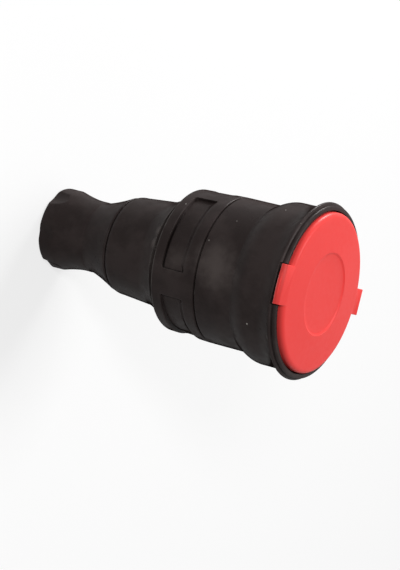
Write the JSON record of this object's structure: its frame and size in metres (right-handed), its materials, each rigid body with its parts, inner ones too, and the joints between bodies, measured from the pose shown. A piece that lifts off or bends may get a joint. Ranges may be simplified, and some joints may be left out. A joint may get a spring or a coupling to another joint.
{
  "type": "industrial inline socket",
  "caption": "Rubber inline power socket with a sprung hinged lid over the plug well, grip pockets on the rear sleeve and a screw-on cable gland.",
  "frame": {"origin": "centre of the cable entry at the end face of the gland nut, which the part stands on", "axes": "+Z along the body's axis from the cable end to the lid, +X towards the lid's finger tab, so the hinge is on the -X side and its pin lies along Y"},
  "size_m": [0.0616, 0.06, 0.1052],
  "materials": {
    "rubber": "matt moulded rubber with a faint sheen and a little dust",
    "seal_rubber": "smooth black rubber",
    "lid_plastic": "satin red plastic",
    "insert_plastic": "satin red plastic",
    "inner_plastic": "black moulded plastic",
    "cage_plastic": "natural white plastic",
    "contact_brass": "bright stamped brass",
    "steel": "zinc-plated steel"
  },
  "bodies": {
    "socket": {"front_sleeve": "rubber", "socket_insert": "insert_plastic", "live_contact": "contact_brass", "neutral_contact": "contact_brass", "contact_springs": "steel", "earth_clip": "contact_brass", "earth_terminal": "contact_brass", "terminal_cover": "inner_plastic", "terminal_screws": "steel", "cover_screws": "steel", "coupling_seal": "seal_rubber", "rear_frame": "inner_plastic", "rear_sleeve": "rubber", "gland_nut": "rubber", "gland_cage": "cage_plastic", "gland_seal": "seal_rubber", "hinge_pin": "steel", "lid_spring": "steel"},
    "lid": {"lid": "lid_plastic", "lid_seal": "seal_rubber"}
  },
  "joints": [
    {"name": "lid_hinge", "type": "hinge", "parent": "socket", "child": "lid", "pos_m": [-0.0285, 0, 0.103], "axis": [0, -1, 0], "range_deg": [0, 95], "stiffness_Nm_per_rad": 0.02, "springref_deg": -34.38}
  ]
}
